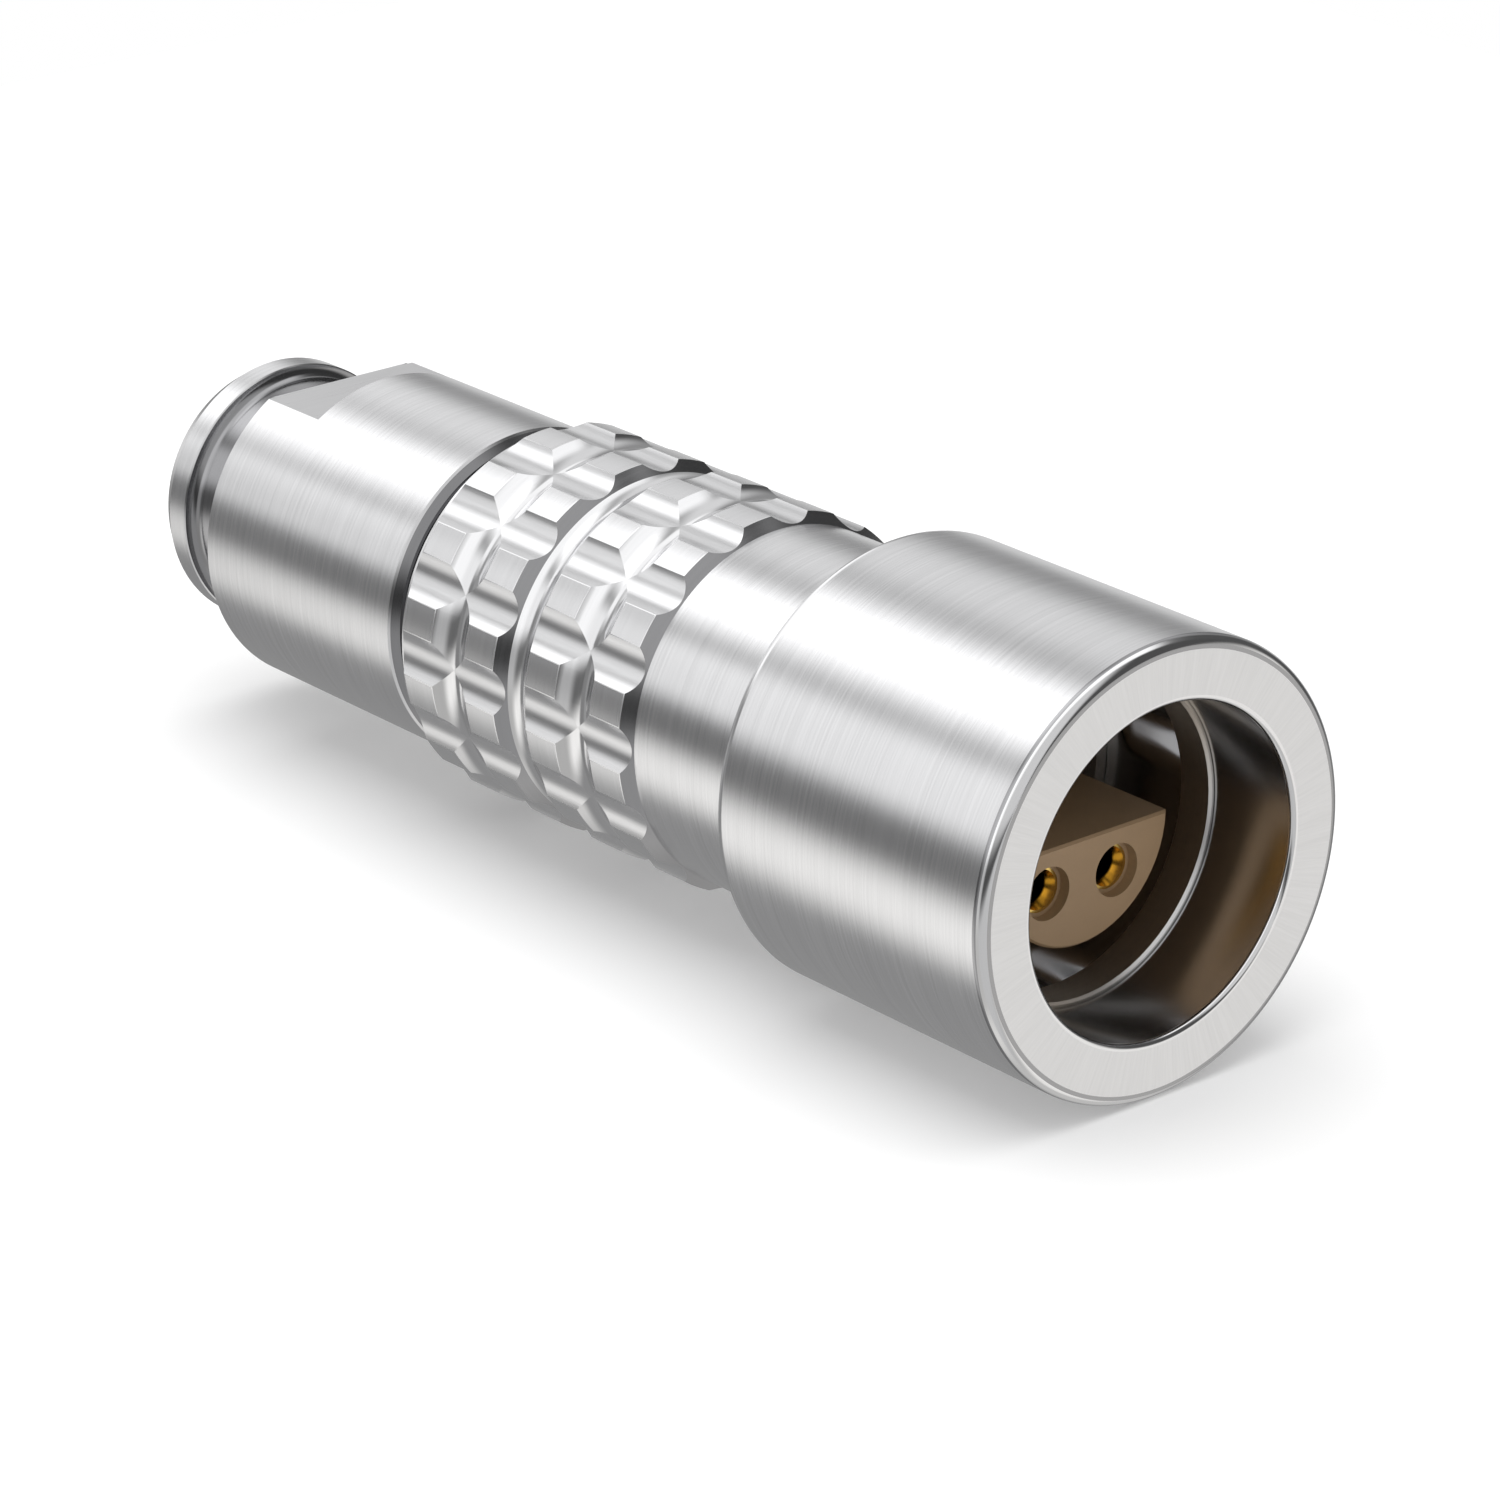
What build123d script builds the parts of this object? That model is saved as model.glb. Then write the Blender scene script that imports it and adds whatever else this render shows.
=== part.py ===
from build123d import *
import os
from math import cos, radians, sin, sqrt

# All lengths are in millimetres and all angles in degrees.
# The connector stands on its mating face, +Z runs along its axis to the cable end,
# and +Y is the open side of the half-moon insert.

# Outer shell
front_radius = 7.5
front_length = 12.3
face_rounding = 0.4
shoulder_rounding = 0.38
neck_radius = 6.1
neck_length = 5.6
shell_tail = 0.1
shell_edge_break = 0.15

# Front bore
bore_radius = 5.45
bore_rounding = 0.2
socket_depth = 8.85
rear_bore_radius = 5.25

# Knurl
knurl_radius = 6.45
knurl_depth = 0.3
knurl_bevel = 0.38
flute_count = 15
first_flute_angle = 0.0
pad_angle = 10.3
pad_length = 1.53
groove_width = 1.76
band_gap = 1.7
valley_sag = 0.12

# Spring rings in the front bore
earthing_ring_start = 3.47
earthing_ring_width = 1.3
earthing_ring_bore = 5.27
earthing_ring_wall = 0.53
earthing_ring_chamfer = 0.08
retaining_ring_width = 0.5
retaining_ring_overlap = 0.2
retaining_ring_wall = 0.65
ring_split = 0.9
ring_seat_clearance = 0.03

# Insulator
nose_radius = 3.55
nose_start = 3.6
insulator_length = 2.5
insulator_tail_radius = 4.2
insulator_tail_length = 3.6
insulator_notch_depth = 0.4
insulator_notch_width = 1.0
insulator_notch_start = 0.9
insulator_edge_break = 0.08

# Socket contacts
contact_offset_x = 1.43
contact_offset_y = -1.44
contact_radius = 0.75
contact_seat_radius = 0.88
contact_seat_depth = 0.4
contact_bore = 0.5
contact_mouth_radius = 0.66
contact_mouth_depth = 0.35
contact_lip = 0.65
clip_chamber_radius = 0.62
clip_chamber_length = 4.2
clip_bore = 0.46
clip_slot = 0.16
clip_slot_angle = 45.0
clip_slot_length = 3.0
contact_bottom = 0.3
contact_tail = 3.2
cup_radius = 0.52
cup_depth = 2.2
cup_opening_length = 1.6

# Insert carrier
carrier_length = 14.2
carrier_wall = 0.95
carrier_lip_length = 1.0
carrier_lip_bore = 3.2
carrier_split = 0.06

# Collet nut
nut_gap = 0.8
nut_length = 10.7
nut_radius = 5.88
nut_chamfer = 0.3
nut_rear_chamfer = 0.08
spanner_size = 10.0
spanner_flat_length = 2.95
relief_neck_radius = 4.3
relief_neck_length = 2.9
relief_neck_fillet = 0.4
relief_ring_radius = 4.75
relief_ring_length = 1.5
relief_ring_taper = 0.35
relief_ring_taper_length = 0.6
spigot_bore = 4.65
cable_hole_radius = 3.3

# Collet
collet_length = 12.0
collet_ring_length = 2.8
collet_finger_radius = 4.2
collet_tip_radius = 3.45
collet_cone_length = 3.6
collet_bore = 2.6
collet_slot_count = 6
collet_slot_width = 0.5
collet_key_width = 1.4
collet_key_length = 0.7
grip_groove_count = 4
grip_groove_pitch = 1.2
grip_groove_width = 0.5
grip_groove_depth = 0.2

# Clearances between neighbours
fit_clearance = 0.05
thread_clearance = 0.08
cone_clearance = 0.1
spigot_gap = 0.55
overrun = 1.0

# Places along the axis and radii that follow from the sizes above
band_length = 2 * pad_length + groove_width
front_band_start = front_length + neck_length + knurl_bevel
rear_band_start = front_band_start + band_length + band_gap
shell_length = rear_band_start + band_length + knurl_bevel + shell_tail
sleeved_radius = rear_bore_radius - fit_clearance
insulator_shoulder = socket_depth + insulator_length
insulator_end = insulator_shoulder + insulator_tail_length
notch_start = insulator_shoulder + insulator_notch_start
notch_end = notch_start + insulator_notch_width
contact_front = nose_start + contact_seat_depth
contact_end = insulator_end + contact_tail
clip_start = contact_front + contact_lip
clip_end = clip_start + clip_chamber_length
carrier_end = insulator_shoulder + carrier_length
collet_start = carrier_end + fit_clearance
collet_end = collet_start + collet_length
collet_cone_start = collet_end - collet_cone_length
collet_ring_radius = spigot_bore - fit_clearance
spigot_start = carrier_end + spigot_gap
nut_start = shell_length + nut_gap
nut_end = nut_start + nut_length
relief_ring_start = nut_end + relief_neck_length
relief_ring_end = relief_ring_start + relief_ring_length


def at(radius, height):
    """A point of a turned outline, in the XZ plane."""
    return Vector(radius, 0, height)


def turned(start, *steps):
    """A closed outline turned about Z; a step is the next point, or an arc's (middle, end)."""
    curves = []
    here = start
    for step in steps:
        if isinstance(step, tuple):
            middle, end = step
            curves.append(ThreePointArc(here, middle, end))
        else:
            end = step
            curves.append(Line(here, end))
        here = end
    curves.append(Line(here, start))
    return revolve(make_face(Wire(curves)), Axis.Z)


def rod(radius, low, high):
    """A cylinder about Z from one height to another."""
    return Pos(0, 0, low) * Cylinder(radius, high - low, align=(Align.CENTER, Align.CENTER, Align.MIN))


def tube(outer, inner, low, high):
    """A plain tube about Z from one height to another."""
    return rod(outer, low, high) - rod(inner, low - overrun, high + overrun)


def block(x_span, y_span, z_span):
    """A box from its low and high limits along each axis."""
    size = [high - low for low, high in (x_span, y_span, z_span)]
    return Pos(x_span[0], y_span[0], z_span[0]) * Box(*size, align=(Align.MIN,) * 3)


def both_sides(limit):
    """The span from minus a limit to plus that limit."""
    return (-limit, limit)


def band_steps(start):
    """Outline of one knurled band after its foot: bevel, land, round groove, land, bevel."""
    groove_start = start + pad_length
    groove_end = groove_start + groove_width
    groove_middle = (groove_start + groove_end) / 2
    end = start + band_length
    return [
        at(knurl_radius, start),
        at(knurl_radius, groove_start),
        (at(knurl_radius - knurl_depth, groove_middle), at(knurl_radius, groove_end)),
        at(knurl_radius, end),
        at(neck_radius, end + knurl_bevel),
    ]


def shell_outside():
    """The turned outside of the shell, before the flutes are cut."""
    face_inset = face_rounding * (1 - sqrt(0.5))
    shoulder_inset = shoulder_rounding * (1 - sqrt(0.5))
    valley_start = front_band_start + band_length + knurl_bevel
    valley_end = rear_band_start - knurl_bevel
    valley_middle = (valley_start + valley_end) / 2
    return turned(
        at(0, 0),
        at(front_radius - face_rounding, 0),
        (at(front_radius - face_inset, face_inset), at(front_radius, face_rounding)),
        at(front_radius, front_length - shoulder_rounding),
        (
            at(front_radius - shoulder_inset, front_length - shoulder_inset),
            at(front_radius - shoulder_rounding, front_length),
        ),
        at(neck_radius, front_length),
        at(neck_radius, front_band_start - knurl_bevel),
        *band_steps(front_band_start),
        (at(neck_radius - valley_sag, valley_middle), at(neck_radius, valley_end)),
        *band_steps(rear_band_start),
        at(neck_radius, shell_length),
        at(0, shell_length),
    )


def knurl_flutes():
    """Round cutters along the axis, as deep as the round groove of each band."""
    half_angle = radians(360 / flute_count - pad_angle) / 2
    bottom = knurl_radius - knurl_depth
    half_chord = knurl_radius * sin(half_angle)
    sagitta = knurl_radius * cos(half_angle) - bottom
    cutter_radius = (half_chord**2 + sagitta**2) / (2 * sagitta)
    cutter = Pos(bottom + cutter_radius, 0, 0) * rod(
        cutter_radius, front_band_start - knurl_bevel - overrun, shell_length + overrun
    )
    turns = [first_flute_angle + 360 * index / flute_count for index in range(flute_count)]
    return [Rot(0, 0, turn) * cutter for turn in turns]


def make_outer_shell():
    """Shell turned in one piece: front barrel, neck, two knurled bands and stepped bore."""
    ring_seat = earthing_ring_bore + earthing_ring_wall + ring_seat_clearance
    ring_seat_start = earthing_ring_start - ring_seat_clearance
    ring_seat_end = earthing_ring_start + earthing_ring_width + ring_seat_clearance
    retainer_seat = sleeved_radius - retaining_ring_overlap + retaining_ring_wall + ring_seat_clearance
    retainer_seat_start = socket_depth - retaining_ring_width - ring_seat_clearance
    inset = bore_rounding * (1 - sqrt(0.5))
    bore = turned(
        at(0, 0),
        at(bore_radius + bore_rounding, 0),
        (at(bore_radius + inset, inset), at(bore_radius, bore_rounding)),
        at(bore_radius, ring_seat_start),
        at(ring_seat, ring_seat_start),
        at(ring_seat, ring_seat_end),
        at(bore_radius, ring_seat_end),
        at(bore_radius, retainer_seat_start),
        at(retainer_seat, retainer_seat_start),
        at(retainer_seat, socket_depth),
        at(rear_bore_radius, socket_depth),
        at(rear_bore_radius, shell_length - shell_edge_break),
        at(rear_bore_radius + shell_edge_break, shell_length),
        at(0, shell_length),
    )
    return shell_outside() - knurl_flutes() - bore


def split_ring(ring):
    """A spring ring cut through once, on its +X side."""
    limits = ring.bounding_box()
    cut = block(
        (0, limits.max.X + overrun),
        both_sides(ring_split / 2),
        (limits.min.Z - overrun, limits.max.Z + overrun),
    )
    return ring - cut


def make_earthing_ring():
    """Split spring ring in the front bore that touches the plug, with a lead-in chamfer."""
    low = earthing_ring_start
    high = low + earthing_ring_width
    outer = earthing_ring_bore + earthing_ring_wall
    ring = turned(
        at(earthing_ring_bore + earthing_ring_chamfer, low),
        at(outer, low),
        at(outer, high),
        at(earthing_ring_bore, high),
        at(earthing_ring_bore, low + earthing_ring_chamfer),
    )
    return split_ring(ring)


def make_retaining_ring():
    """Split spring ring that keeps the insulator from leaving through the mouth."""
    inner = sleeved_radius - retaining_ring_overlap
    start = socket_depth - retaining_ring_width
    return split_ring(tube(inner + retaining_ring_wall, inner, start, socket_depth))


def make_insulator():
    """Round insulator with a half-moon nose, two contact holes and a notched tail."""
    nose = rod(nose_radius, nose_start, socket_depth)
    nose -= block(
        both_sides(nose_radius), (0, nose_radius), (nose_start - overrun, socket_depth + overrun)
    )
    front_rim = nose.edges().filter_by(GeomType.CIRCLE).sort_by(Axis.Z)[0]
    front_edge = nose.edges().filter_by(Axis.X).sort_by(Axis.Z)[0]
    insulator = chamfer([front_rim, front_edge], insulator_edge_break)
    insulator += rod(sleeved_radius, socket_depth, insulator_shoulder)
    insulator += rod(insulator_tail_radius, insulator_shoulder, insulator_end)
    notch_radius = insulator_tail_radius - insulator_notch_depth
    insulator -= tube(insulator_tail_radius + overrun, notch_radius, notch_start, notch_end)
    for x in contact_sides.values():
        hole = rod(contact_seat_radius, nose_start - overrun, contact_front)
        hole += rod(contact_radius, nose_start, insulator_end + overrun)
        insulator -= Pos(x, contact_offset_y, 0) * hole
    return insulator


def make_socket_contact(x):
    """Closed-entry socket contact with a chamber for its spring clip and a solder cup."""
    pin_bore = turned(
        at(0, contact_front),
        at(contact_mouth_radius, contact_front),
        at(contact_bore, contact_front + contact_mouth_depth),
        at(contact_bore, clip_start),
        at(clip_chamber_radius, clip_start),
        at(clip_chamber_radius, clip_end),
        at(contact_bore, clip_end),
        at(0, clip_end + contact_bottom),
    )
    cup_opening = block(
        both_sides(contact_radius),
        (0, contact_radius),
        (contact_end - cup_opening_length, contact_end + overrun),
    )
    body = rod(contact_radius, contact_front, contact_end) - pin_bore
    body -= rod(cup_radius, contact_end - cup_depth, contact_end + overrun)
    return Pos(x, contact_offset_y, 0) * (body - cup_opening)


def make_contact_clip(x):
    """Slotted spring sleeve inside the socket contact that grips the pin."""
    slot = block(
        (0, contact_radius),
        both_sides(clip_slot / 2),
        (clip_start - overrun, clip_start + clip_slot_length),
    )
    sleeve = tube(clip_chamber_radius, clip_bore, clip_start, clip_end) - Rot(0, 0, clip_slot_angle) * slot
    return Pos(x, contact_offset_y, 0) * sleeve


def make_carrier_half(side):
    """Half sleeve that holds the insulator's notch and backs the collet; side is +1 or -1."""
    inner = sleeved_radius - carrier_wall
    rib_bore = insulator_tail_radius - insulator_notch_depth + fit_clearance
    lip_start = carrier_end - carrier_lip_length
    sleeve = turned(
        at(inner, insulator_shoulder),
        at(sleeved_radius, insulator_shoulder),
        at(sleeved_radius, carrier_end),
        at(carrier_lip_bore, carrier_end),
        at(carrier_lip_bore, lip_start),
        at(inner, lip_start),
        at(inner, notch_end - fit_clearance),
        at(rib_bore, notch_end - fit_clearance),
        at(rib_bore, notch_start + fit_clearance),
        at(inner, notch_start + fit_clearance),
    )
    reach = sleeved_radius + overrun
    key_way = block(
        both_sides(collet_key_width / 2 + fit_clearance),
        both_sides(reach),
        (carrier_end - collet_key_length - fit_clearance, carrier_end + overrun),
    )
    half = block(
        both_sides(reach),
        sorted((side * carrier_split / 2, side * reach)),
        (insulator_shoulder, carrier_end),
    )
    return (sleeve - key_way) & half


def make_collet():
    """Slotted clamping collet: keyed ring, spring fingers, outer cone and gripping grooves."""
    ring_end = collet_start + collet_ring_length
    key_start = collet_start - collet_key_length
    collet = turned(
        at(0, collet_start),
        at(collet_ring_radius, collet_start),
        at(collet_ring_radius, ring_end),
        at(collet_finger_radius, ring_end),
        at(collet_finger_radius, collet_cone_start),
        at(collet_tip_radius, collet_end),
        at(0, collet_end),
    )
    keys = block(
        both_sides(collet_key_width / 2), both_sides(collet_ring_radius), (key_start, collet_start)
    )
    collet += keys & rod(collet_ring_radius, key_start, collet_start)
    collet -= rod(collet_bore, key_start - overrun, collet_end + overrun)
    for index in range(grip_groove_count):
        height = collet_end - grip_groove_pitch * (index + 1)
        collet -= turned(
            at(collet_bore - overrun, height),
            at(collet_bore, height),
            at(collet_bore + grip_groove_depth, height + grip_groove_width / 2),
            at(collet_bore, height + grip_groove_width),
            at(collet_bore - overrun, height + grip_groove_width),
        )
    slot = block(
        (0, collet_ring_radius + overrun),
        both_sides(collet_slot_width / 2),
        (ring_end, collet_end + overrun),
    )
    for index in range(collet_slot_count):
        collet -= Rot(0, 0, 360 * index / collet_slot_count) * slot
    return collet


def make_collet_nut():
    """Nut with an inner spigot, spanner flats, inner cone and the lip for a bend relief."""
    spigot_radius = rear_bore_radius - thread_clearance
    rounding = relief_neck_fillet * (1 - sqrt(0.5))
    outside = turned(
        at(0, spigot_start),
        at(spigot_radius - shell_edge_break, spigot_start),
        at(spigot_radius, spigot_start + shell_edge_break),
        at(spigot_radius, nut_start),
        at(nut_radius - nut_chamfer, nut_start),
        at(nut_radius, nut_start + nut_chamfer),
        at(nut_radius, nut_end - nut_rear_chamfer),
        at(nut_radius - nut_rear_chamfer, nut_end),
        at(relief_neck_radius, nut_end),
        at(relief_neck_radius, relief_ring_start - relief_neck_fillet),
        (
            at(relief_neck_radius + rounding, relief_ring_start - rounding),
            at(relief_neck_radius + relief_neck_fillet, relief_ring_start),
        ),
        at(relief_ring_radius, relief_ring_start),
        at(relief_ring_radius, relief_ring_end - relief_ring_taper_length),
        at(relief_ring_radius - relief_ring_taper, relief_ring_end),
        at(0, relief_ring_end),
    )
    inside = turned(
        at(0, spigot_start),
        at(spigot_bore, spigot_start),
        at(spigot_bore, collet_cone_start),
        at(collet_finger_radius + cone_clearance, collet_cone_start),
        at(collet_tip_radius + cone_clearance, collet_end + fit_clearance),
        at(cable_hole_radius, collet_end + fit_clearance),
        at(cable_hole_radius, relief_ring_end),
        at(0, relief_ring_end),
    )
    nut = outside - inside
    for side in (1, -1):
        nut -= block(
            both_sides(nut_radius),
            sorted((side * spanner_size / 2, side * (nut_radius + overrun))),
            (nut_end - spanner_flat_length, nut_end),
        )
    return nut


contact_sides = {"left": -contact_offset_x, "right": contact_offset_x}
parts = {
    "outer_shell": make_outer_shell(),
    "earthing_ring": make_earthing_ring(),
    "retaining_ring": make_retaining_ring(),
    "insulator": make_insulator(),
    "insert_carrier_upper": make_carrier_half(1),
    "insert_carrier_lower": make_carrier_half(-1),
    "collet": make_collet(),
    "collet_nut": make_collet_nut(),
}
for side, x in contact_sides.items():
    parts[f"socket_contact_{side}"] = make_socket_contact(x)
    parts[f"contact_clip_{side}"] = make_contact_clip(x)

os.makedirs("parts", exist_ok=True)
for name, solid in parts.items():
    export_step(solid, f"parts/{name}.step")
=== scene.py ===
from math import asin, atan2, cos, degrees, hypot, pi, radians, sin, sqrt

import bpy
from mathutils import Matrix, Vector


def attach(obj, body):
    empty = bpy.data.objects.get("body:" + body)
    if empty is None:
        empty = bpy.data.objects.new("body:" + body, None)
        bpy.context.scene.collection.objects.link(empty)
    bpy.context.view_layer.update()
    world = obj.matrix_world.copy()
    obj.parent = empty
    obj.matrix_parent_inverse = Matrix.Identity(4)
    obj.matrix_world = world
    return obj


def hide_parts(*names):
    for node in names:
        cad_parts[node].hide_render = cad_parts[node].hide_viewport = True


# Sizes are in millimetres and angles in degrees, as in the part; meshes are written in metres.
MM = 0.001

# Shell
FRONT_RADIUS = 7.5
FRONT_LENGTH = 12.3
FACE_ROUNDING = 0.4
# Angle at each end of the face's rounding that takes the painted dark reflection lines, and their rows
RIM_LINE_ANGLE = 20.0
RIM_LINE_STEPS = (2, 4)
ROUNDING_STEPS = 8
SHOULDER_ROUNDING = 0.38
SHOULDER_START_ANGLE = 10
NECK_RADIUS = 6.1
NECK_LENGTH = 5.6
SHELL_TAIL = 0.1
SHELL_EDGE_BREAK = 0.15
BORE_RADIUS = 5.45
BORE_ROUNDING = 0.2
REAR_BORE_RADIUS = 5.25
RING_SEAT_RADIUS = 5.83
RING_SEAT_SPAN = (3.44, 4.80)
RETAINER_SEAT_RADIUS = 5.68
RETAINER_SEAT_SPAN = (8.32, 8.85)
SHELL_COLUMNS = 288
# How far from a rounding a row of points holds the shading of the surface beside it
GUARD = 0.06

# Knurl
KNURL_RADIUS = 6.45
KNURL_DEPTH = 0.3
KNURL_BEVEL = 0.38
FLUTE_COUNT = 15
PAD_ANGLE = 10.3
PAD_LENGTH = 1.53
GROOVE_WIDTH = 1.76
BAND_GAP = 1.7
VALLEY_SAG = 0.12
EDGE_WIDTH = 0.035
EDGE_DROP = 0.007
FLUTE_STEPS = 7
PAD_STEPS = 8
BAND_SEAT = 5.95

BAND_LENGTH = 2 * PAD_LENGTH + GROOVE_WIDTH
FIRST_BAND = FRONT_LENGTH + NECK_LENGTH + KNURL_BEVEL
SECOND_BAND = FIRST_BAND + BAND_LENGTH + BAND_GAP
SHELL_LENGTH = SECOND_BAND + BAND_LENGTH + KNURL_BEVEL + SHELL_TAIL

# Nut
NUT_GAP = 0.8
NUT_START = SHELL_LENGTH + NUT_GAP
NUT_LENGTH = 10.7
NUT_RADIUS = 5.88
NUT_CHAMFER = 0.3
NUT_FACE_RIM = 0.12
NUT_EDGE = 0.07
NUT_REAR_CHAMFER = 0.08
SPANNER_SIZE = 10.0
FLAT_LENGTH = 2.95
# Height of the step from the round nut to its flats, and the least sine that their radius is worked out for
FLAT_FOOT = 0.002
LEAST_RISE = 0.1
RELIEF_NECK_RADIUS = 4.3
RELIEF_NECK_FILLET = 0.4
FILLET_STEPS = 5
RELIEF_RING_RADIUS = 4.75
RELIEF_RING_START = 44.5
RELIEF_RING_LENGTH = 1.5
RELIEF_RING_EDGE = 0.04
RELIEF_RING_TAPER = 0.35
RELIEF_RING_TAPER_LENGTH = 0.6
SPIGOT_RADIUS = 5.17
SPIGOT_START = 26.1
SPIGOT_BORE = 4.65
CABLE_HOLE_RADIUS = 3.3
CABLE_HOLE_CHAMFER = 0.1
CONE_START = 34.0
CONE_START_RADIUS = 4.3
CONE_END = 37.65
CONE_END_RADIUS = 3.55
THREAD_PITCH = 0.5
THREAD_DEPTH = 0.16
THREAD_ROWS = 6
NUT_COLUMNS = 240

# Streaks in the bore, at their angles: half width, soft edge, the heights between which each grows
# to full and fades again, and how far the surface leans towards the mouth
BORE_STREAK_ANGLES = (166, -101)
BORE_STREAK_WIDTHS = (1, 12)
BORE_STREAK_GROWS = (4.6, 5.0)
BORE_STREAK_FADES = (6.9, 7.9)
BORE_STREAK_LEAN = 1.1

# Places on the part where a material changes its colour: painted shade in the contact holes and deep in the
# insert, and a painted highlight on the ring's front edge
CONTACT_PLACE = (1.43, -1.44)
CONTACT_BORE = 0.5
CONTACT_BORE_EDGE = 0.03
# Colour of the painted shade inside the contact holes
CONTACT_BORE_SHADE_COLOUR = (0.02, 0.014, 0.006)
# Depths over which the insert darkens into painted shade, and the colour of that shade
INSERT_SHADE_DEPTHS = (8.0, 8.7)
INSERT_SHADE_COLOUR = (0.05, 0.035, 0.022)
# Band round the axis, facing and colour of the painted highlight on the ring's front edge
RING_HIGHLIGHT_BAND = (-145, 25, 45)
RING_HIGHLIGHT_FACING = (-0.5, -0.3)
RING_HIGHLIGHT_COLOUR = (0.92, 0.91, 0.90)

# Camera in the part's frame
CAMERA_PLACE = (115.64, 71.10, -117.80)
CAMERA_RIGHT = (-0.76476, 0.00014, -0.64432)
CAMERA_UP = (-0.24296, 0.92612, 0.28858)
CAMERA_AHEAD = (-0.59675, -0.37725, 0.70822)
CAMERA_LENS = 142.61
SENSOR_WIDTH = 36.0
CLIP_METRES = (0.001, 10)

# Floor, lamps and surroundings
FLOOR_HEIGHT = -FRONT_RADIUS
FLOOR_SIZE = 190.0
FLOOR_MIDDLE = 23.0
FLOOR_COLOUR = (0.93, 0.93, 0.93, 1)
# Share of the floor that is plain white to the camera, which keeps the shadow light
FLOOR_LIFT = 0.12
EVEN_LIGHT = 0.80
KEY_PLACE = (28, 220, 28)
KEY_TARGET = (0, -7, 20)
KEY_SIZE = 240
KEY_POWER = 0.38
# Softboxes round the part's axis: angle from +X towards +Y, half width, soft edge, strength and tint;
# a strength below zero takes light away
WHITE = (1.0, 1.0, 1.0)
WARM = (1.0, 0.985, 0.955)
REAR_BOXES = (
    (-37, 4, 24, 0.78, WARM),
    (-7, 6, 12, -0.14, WHITE),
    (27, 10, 15, 0.72, WHITE),
    (77, 6, 26, 1.30, WHITE),
    (131, 6, 28, 0.50, WHITE),
    (-165, 4, 20, 0.45, WHITE),
)
REAR_GLOOM = 0.30
SIDE_BOXES = (
    (-100, 25, 25, 0.33, WARM),
    (-45, 15, 30, 0.30, WARM),
    (-5, 6, 18, 0.25, WHITE),
    (68, 52, 14, 0.95, WHITE),
    (165, 20, 20, -0.14, WHITE),
)
SIDE_GLOOM = 0.22
FRONT_BOXES = (
    (-140, 35, 25, 0.80, WARM),
    (-52, 26, 20, 0.48, WHITE),
    (60, 34, 26, 0.58, WHITE),
)
FRONT_GLOOM = 0.07
RING_BOXES = ((95, 45, 30, 0.90, WHITE),)
RING_GLOOM = 0.25
AXIS_BOXES = ((150, 60, 50, 0.50, WHITE),)
AXIS_GLOOM = 0.35
# Where along the axis one studio zone gives way to the next, as the axis part of the direction
FRONT_TO_SIDE = (-0.38, -0.18)
SIDE_TO_REAR = (0.15, 0.50)
REAR_TO_RING = (0.76, 0.82)
RING_TO_AXIS = (0.90, 0.94)

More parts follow.
